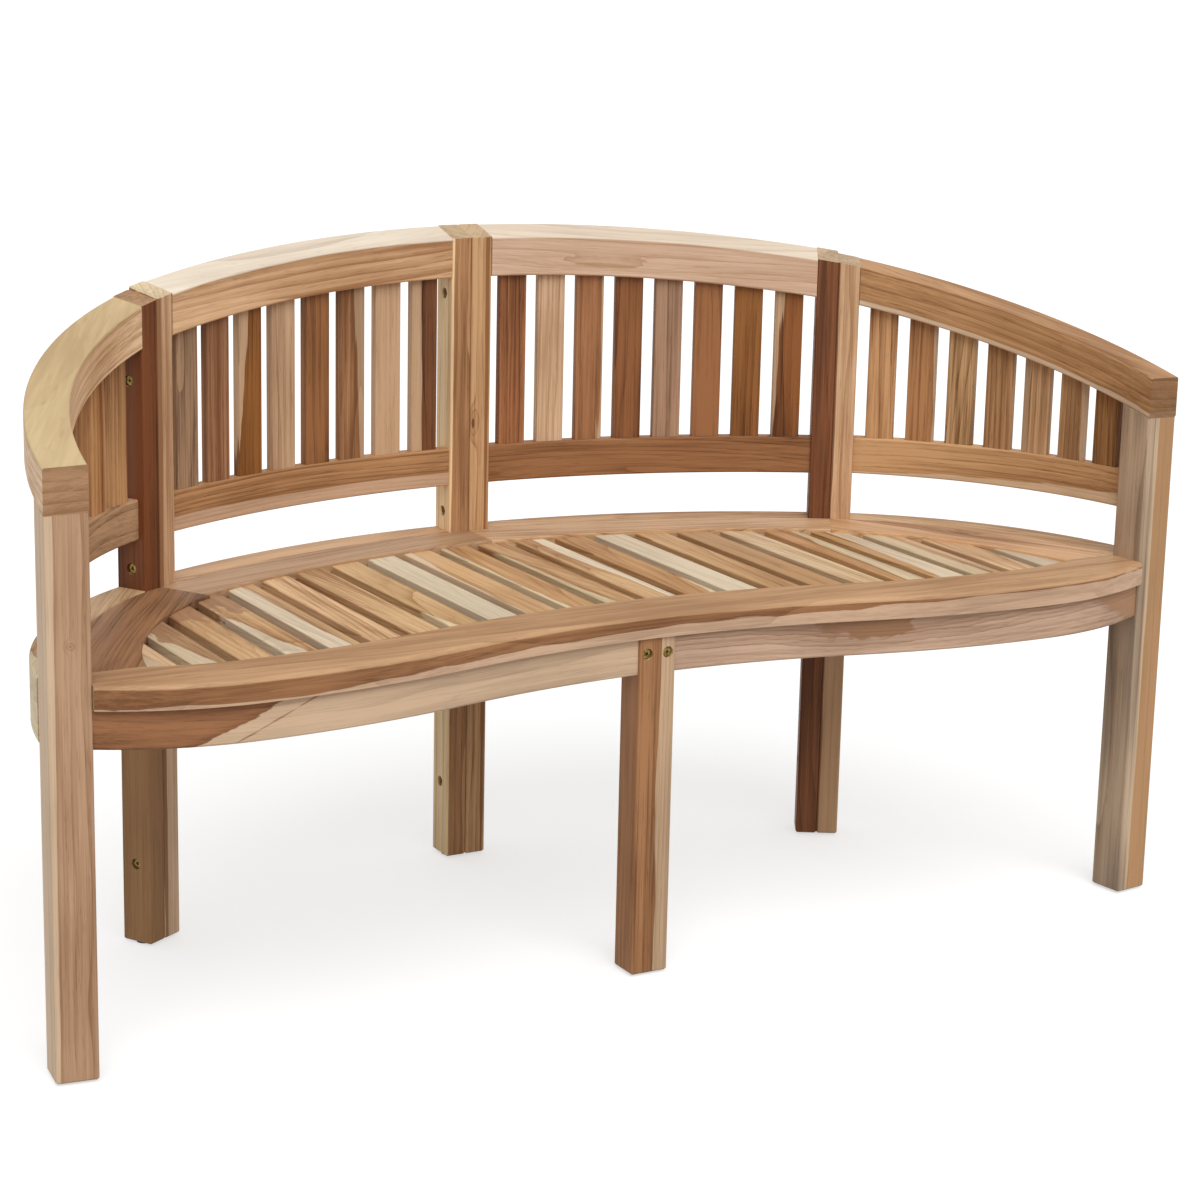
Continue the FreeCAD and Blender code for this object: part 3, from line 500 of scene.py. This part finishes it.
# Seat rails
# Four deep rails join the posts at the height of the seat, outside it. Their upper faces lie
# level with the seat boards and are parted from them by a thin dark line.
saw("seat_rail_end_left", left_run, left_inward, light=shade(208, 172, 130), dark=shade(146, 104, 68),
    sap_and_painted_light=SapwoodAndPaintedLight(toward=to_left, depth=0.03, tone=shade(226, 206, 168)))
saw("seat_rail_middle_left", middle_left_run, rear, light=shade(204, 162, 120), dark=shade(146, 102, 66))
saw("seat_rail_middle_right", middle_right_run, rear, light=shade(210, 170, 128), dark=shade(154, 110, 72))
saw("seat_rail_end_right", right_run, right_inward, light=shade(210, 172, 128), dark=shade(156, 112, 72))


# Back slats
# Thirty thin upright slats fill the back: eight in each middle panel and seven in each end
# panel. They are let into the rails above and below. No two are from the same board, so each
# has its own tone, and some have a paler side.
Arc = namedtuple("Arc", "centre radius first step")
Slat = namedtuple("Slat", "light dark paler_side slant", defaults=(0.0, 0.0))
slat_middle_height = 0.66
side_line = 0.025


def by_slat(tree, row_share, values):
    """picks one value of the list for each slat in a row, which runs from 0 to 1"""
    picked = new_node(tree, "ValToRGB", {"Fac": row_share})
    ramp = picked.color_ramp
    ramp.interpolation = "CONSTANT"
    ramp.elements.remove(ramp.elements[1])
    ramp.elements[0].color = (*values[0][:3], 1.0)
    for i, value in enumerate(values[1:], 1):
        ramp.elements.new(i / len(values)).color = (*value[:3], 1.0)
    return picked.outputs[0]


def paler_side(tree, row_share, slats, across, height):
    """How far a place lies past the edge of its slat's paler side. That side reaches in from a line 25 mm
    off the slat's middle, which is to its left where the reach is below 0. Each slat's values go through
    a colour: its side, its reach in tenths of a metre, and its slant from 0.5."""
    coded = [(1.0 if slat.paler_side > 0 else 0.0, abs(slat.paler_side) * 10, slat.slant + 0.5)
             for slat in slats]
    side, reach, slant = new_node(tree, "SeparateColor", {0: by_slat(tree, row_share, coded)}).outputs
    toward = math_node(tree, "SUBTRACT", times(tree, side, 2.0), 1.0)
    slanted = times(tree, math_node(tree, "SUBTRACT", slant, 0.5), height)
    outward = times(tree, math_node(tree, "ADD", across, slanted), toward)
    edge = math_node(tree, "SUBTRACT", side_line, times(tree, reach, 0.1))
    return math_node(tree, "SUBTRACT", outward, edge)


def saw_row(piece, side, arc, slats):
    """Slats in a row on an arc. The first slat and the step are angles seen from the arc's centre,
    counted from the rear towards that side of the bench."""
    material = new_material("teak_" + piece)
    tree = material.node_tree
    object_place = new_node(tree, "TexCoord").outputs["Object"]
    from_centre = vector_node(tree, "SUBTRACT", object_place, (side * arc.centre[0], arc.centre[1], 0.0))
    parts = new_node(tree, "SeparateXYZ", {0: from_centre}).outputs
    angle = math_node(tree, "ARCTAN2", times(tree, parts["X"], side), parts["Y"])
    flat = vector_node(tree, "MULTIPLY", from_centre, (1, 1, 0))
    deep = math_node(tree, "SUBTRACT", vector_node(tree, "LENGTH", flat), arc.radius)
    steps = math_node(tree, "DIVIDE", math_node(tree, "SUBTRACT", angle, arc.first - arc.step / 2), arc.step)
    number = math_node(tree, "FLOOR", steps)
    off_middle = math_node(tree, "SUBTRACT", math_node(tree, "FRACT", steps), 0.5)
    across = times(tree, off_middle, side * arc.step * arc.radius)
    height = math_node(tree, "SUBTRACT", parts["Z"], slat_middle_height)
    place = new_node(tree, "CombineXYZ", {0: across, 1: deep, 2: height}).outputs[0]
    row_share = math_node(tree, "DIVIDE", math_node(tree, "ADD", number, 0.5), len(slats))

    # each slat has its own stretch of the noises, and comes from another place in the tree
    boards_sawn.append(piece)
    row = len(boards_sawn)
    chance = new_node(tree, "TexWhiteNoise", {"W": math_node(tree, "ADD", number, 9.0 * row)},
                      noise_dimensions="1D").outputs["Color"]
    pith = vector_node(tree, "SUBTRACT", chance, (0.5, 0.1, 0.5))
    pith = vector_node(tree, "MULTIPLY", pith, (0.2, 0.12, 0))
    lean = vector_node(tree, "SUBTRACT", chance, (0.5, 0.5, 0.5))
    lean = vector_node(tree, "MULTIPLY", lean, (0.06, 0.08, 0))
    finish_teak(material, place, 0.0, {
        "light": by_slat(tree, row_share, [slat.light for slat in slats]),
        "dark": by_slat(tree, row_share, [slat.dark for slat in slats]),
        "sapwood_and_painted_light": shade(196, 162, 128), "sapwood_and_painted_light_depth": paler_side(tree, row_share, slats, across, height),
        "board": math_node(tree, "ADD", number, 11.0 * row), "pith": pith, "lean": lean,
        "ring": 0.006, "streaks": 0.32})
    wear(piece, material)


left_side, right_side = -1, 1
middle_arc = Arc(centre=(0.0, -0.700), radius=0.977, first=math.radians(3.828), step=math.radians(3.2414))
end_arc = Arc(centre=(0.2052, -0.2918), radius=0.5294, first=math.radians(40.556), step=math.radians(5.968))
saw_row("back_slats_middle_left", left_side, middle_arc, [
    Slat(shade(126, 80, 50), shade(72, 40, 22), paler_side=-0.020),
    Slat(shade(202, 166, 132), shade(152, 112, 82)),
    Slat(shade(182, 134, 94), shade(118, 78, 48), paler_side=0.016, slant=0.05),
    Slat(shade(154, 104, 64), shade(88, 52, 28)),
    Slat(shade(206, 172, 138), shade(156, 118, 88)),
    Slat(shade(148, 96, 48), shade(92, 54, 22), paler_side=-0.012, slant=-0.10),
    Slat(shade(184, 138, 102), shade(122, 78, 50)),
    Slat(shade(174, 140, 110), shade(100, 74, 54))])
saw_row("back_slats_middle_right", right_side, middle_arc, [
    Slat(shade(172, 114, 74), shade(96, 56, 32)),
    Slat(shade(216, 182, 148), shade(166, 126, 92)),
    Slat(shade(170, 118, 80), shade(108, 70, 42), paler_side=0.012),
    Slat(shade(146, 95, 58), shade(90, 52, 28)),
    Slat(shade(176, 140, 114), shade(122, 90, 68)),
    Slat(shade(158, 106, 68), shade(102, 62, 34)),
    Slat(shade(148, 96, 50), shade(86, 50, 22)),
    Slat(shade(144, 90, 48), shade(80, 44, 20), paler_side=-0.012, slant=-0.05)])
saw_row("back_slats_end_right", right_side, end_arc, [
    Slat(shade(206, 158, 112), shade(128, 84, 48)),
    Slat(shade(180, 130, 86), shade(114, 74, 44), paler_side=0.008),
    Slat(shade(206, 166, 120), shade(124, 86, 52)),
    Slat(shade(192, 148, 104), shade(132, 92, 58)),
    Slat(shade(204, 162, 120), shade(130, 92, 60), paler_side=-0.014),
    Slat(shade(182, 140, 98), shade(120, 82, 52), paler_side=0.012, slant=0.05),
    Slat(shade(160, 114, 70), shade(96, 62, 32))])
saw_row("back_slats_end_left", left_side, end_arc, [
    Slat(shade(206, 158, 110), shade(134, 92, 58)),
    Slat(shade(206, 154, 104), shade(136, 86, 48)),
    Slat(shade(190, 140, 94), shade(120, 78, 46)),
    Slat(shade(192, 142, 98), shade(122, 80, 48), paler_side=0.012),
    Slat(shade(196, 150, 108), shade(134, 92, 60)),
    Slat(shade(176, 146, 114), shade(122, 94, 68)),
    Slat(shade(186, 158, 126), shade(128, 100, 74))])


# Seat frame
# Five flat boards with eased inner edges frame the seat. The front one is waved and rounded
# over at its top, with brown heart above and pale wood below on its edge. The others butt
# against it and against each other in front of the side posts.
saw("front_board", to_right, down, light=shade(162, 114, 76), dark=shade(118, 78, 48),
    sap_and_painted_light=SapwoodAndPaintedLight(toward=(0.0164, 0, -1), depth=0.024, tone=shade(210, 174, 144)), wave=0.016,
    stripe=Stripe(toward=up, depth=0.0, width=0.010, tone=shade(200, 160, 120)),
    pith=(0.10, 0.03), ring=0.009, calm=(3, 1), streaks=0.3)
saw("middle_board_left", middle_left_run, down, light=shade(186, 150, 116), dark=shade(130, 94, 64),
    fibre=0.8)
saw("middle_board_right", middle_right_run, down, light=shade(206, 168, 128), dark=shade(148, 106, 70))
saw("end_board_left", left_run, down, light=shade(162, 118, 82), dark=shade(98, 64, 38),
    figure=0.04, fibre=0.8, grey=0.15)
saw("end_board_right", right_run, down, light=shade(212, 168, 124), dark=shade(146, 102, 64),
    knot=Knot(place=(0.60, -0.02, 0.456), half_width=0.008, half_length=0.02, tone=shade(146, 100, 64)),
    pith=(0.02, 0.08))


# Seat slats
# Twenty-three slats run from the front to the back, with tongues in a groove of the frame.
# Many are partly sapwood, with a wavy cream edge, and none matches its neighbour. Three near
# the left end turn brown towards the back.
honey, golden_brown = shade(214, 176, 130), shade(152, 108, 68)
deep_honey, sandy_brown = shade(206, 164, 116), shade(150, 112, 80)
straw, pale_sap = shade(224, 204, 168), shade(230, 214, 186)
front_left, front_right = (-1, -0.16, 0), (1, -0.16, 0)
whole_slat = 0.060
# each slat's light tone, dark tone and sapwood, from the left end to the right
seat_boards = [
    (shade(236, 206, 168), shade(186, 146, 104), SapwoodAndPaintedLight(front_left, 0.030, shade(208, 190, 158))),
    (shade(194, 158, 120), shade(138, 100, 66), SapwoodAndPaintedLight(front_left, 0.034, shade(216, 198, 166))),
    (honey, shade(158, 118, 80), None),
    (honey, golden_brown, SapwoodAndPaintedLight(front_left, 0.032, pale_sap)),
    (honey, sandy_brown, SapwoodAndPaintedLight((-1, -0.02, 0), 0.027, pale_sap)),
    (shade(228, 190, 146), golden_brown, None),
    (shade(216, 180, 134), golden_brown, None),
    (shade(214, 178, 132), shade(150, 108, 62), SapwoodAndPaintedLight(front_left, 0.016, straw)),
    (straw, shade(158, 124, 88), SapwoodAndPaintedLight(to_right, whole_slat, shade(224, 210, 182))),
    (honey, golden_brown, SapwoodAndPaintedLight((-1, 0.03, 0), 0.010, shade(224, 200, 168))),
    (deep_honey, golden_brown, SapwoodAndPaintedLight(to_left, 0.006, straw)),
    (honey, golden_brown, SapwoodAndPaintedLight((-1, -0.05, 0), 0.014, shade(220, 200, 160))),
    (honey, golden_brown, SapwoodAndPaintedLight((1, 0.02, 0), 0.020, pale_sap)),
    (shade(204, 160, 112), shade(138, 94, 54), SapwoodAndPaintedLight(front_right, 0.016, straw)),
    (shade(222, 206, 176), shade(158, 124, 88), SapwoodAndPaintedLight(to_right, whole_slat, shade(224, 208, 180))),
    (shade(210, 172, 126), golden_brown, None),
    (shade(186, 146, 104), shade(132, 94, 60), None),
    (shade(224, 200, 164), shade(178, 138, 96), None),
    (shade(206, 160, 112), shade(128, 86, 52), SapwoodAndPaintedLight((1, -0.05, 0), 0.026, straw)),
    (deep_honey, shade(138, 96, 54), SapwoodAndPaintedLight((1, -0.03, 0), 0.034, shade(222, 204, 176))),
    (shade(206, 172, 134), sandy_brown, SapwoodAndPaintedLight(to_left, 0.022, shade(212, 190, 154))),
    (shade(220, 184, 142), shade(164, 124, 86), None),
    (shade(206, 180, 150), shade(160, 128, 96), SapwoodAndPaintedLight(to_left, whole_slat, shade(210, 192, 166)))]
# the brown wood reaches in from a slat's back end by a little over half of this length
brown_ends = {2: (0.17, shade(168, 130, 96)), 3: (0.15, shade(176, 132, 96)), 4: (0.18, shade(168, 130, 96))}
for number, (light, dark, sap_and_painted_light) in enumerate(seat_boards, 1):
    slat = "seat_slat_%02d" % number
    brown_end = None
    if number in brown_ends:
        half_length, tone = brown_ends[number]
        low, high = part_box(slat)
        brown_end = Knot(((low.x + high.x) / 2, high.y, high.z), 0.08, half_length, tone)
    # the boards come from all round the tree, so the pith swings from one slat to the next
    swing = math.sin(number * 2.4)
    saw(slat, rear, down, light, dark, sap_and_painted_light=sap_and_painted_light, knot=brown_end, ring=0.0055 + 0.002 * swing,
        pith=(0.06 * swing, 0.05 + 0.03 * math.cos(number * 1.7)), lean=(0.03 * swing, 0.05),
        figure=0.03, fibre=0.8)


# Aprons
# Two boards, sawn to the wave of the front edge, stand on edge under the front board between
# the middle leg and the front posts. Each turns to brown heart at its outer end, the left one
# past a slanting line. The right one has a brown patch near its middle as well.
left_heart_line = (0.399, 0, -0.917)
saw("front_apron_left", (0.97, 0.1, 0), rear, light=shade(160, 110, 74), dark=shade(104, 66, 40),
    sap_and_painted_light=SapwoodAndPaintedLight(toward=left_heart_line, depth=0.233, tone=shade(214, 182, 150)), wave=0.012,
    stripe=Stripe(toward=left_heart_line, depth=0.217, width=0.0016, tone=shade(160, 118, 86)),
    pith=(0.05, 0.02), ring=0.012, calm=(1, 6), figure=0.05, streaks=0.10, fibre=0.7)
saw("front_apron_right", (0.97, -0.1, 0), rear, light=shade(208, 174, 148), dark=shade(156, 118, 92),
    sap_and_painted_light=SapwoodAndPaintedLight(toward=(0.454, 0, 0.891), depth=0.047, tone=shade(176, 132, 96)), wave=0.010,
    knot=Knot(place=(0.285, -0.264, 0.424), half_width=0.042, half_length=0.12, tone=shade(168, 120, 82)),
    pith=(0.08, 0.02), calm=(1, 6), figure=0.04, streaks=0.10, fibre=0.7, grey=0.15)


# Bearers
# Three rough-sawn beams of plain teak carry the slats from below and tie the front of the
# seat to its back. One is behind the middle leg, and one under each half of the seat.
saw("centre_bearer", rear, down, light=shade(178, 134, 96), dark=shade(126, 86, 56))
saw("side_bearers", rear, down, light=shade(176, 132, 94), dark=shade(122, 84, 54))


# Bolts and sleeve nuts
# Yellow-plated steel bolts with a six-sided socket sit at the bottom of round recesses. They
# join each pair of back posts and hold the middle leg to its bearer.
plated = new_material("yellow_plated_steel")
tree = plated.node_tree
dull = fibres(tree, new_node(tree, "TexCoord").outputs["Object"], across=260, along=260)
tint = mix_color(tree, smooth_step(tree, dull, 0.35, 0.65), shade(92, 74, 40), shade(158, 136, 78))
rough = math_node(tree, "ADD", centred(tree, dull, 0.3), 0.42)
metal = new_node(tree, "BsdfPrincipled", {"Base Color": tint, "Metallic": 1.0, "Roughness": rough})
new_node(tree, "OutputMaterial", {"Surface": metal.outputs[0]})
wear("bolts", plated)
wear("sleeve_nuts", plated)


# Glides
# A thin disc of dark moulded plastic is nailed under each foot. It keeps the end grain off the
# ground, and lets the bench slide.
moulded = new_material("dark_moulded_plastic")
tree = moulded.node_tree
scuff = fibres(tree, new_node(tree, "TexCoord").outputs["Object"], across=180, along=180)
tint = mix_color(tree, scuff, shade(28, 25, 23), shade(58, 53, 48))
rough = math_node(tree, "ADD", centred(tree, scuff, 0.3), 0.6)
plastic = new_node(tree, "BsdfPrincipled", {"Base Color": tint, "Roughness": rough})
new_node(tree, "OutputMaterial", {"Surface": plastic.outputs[0]})
wear("foot_glides", moulded)
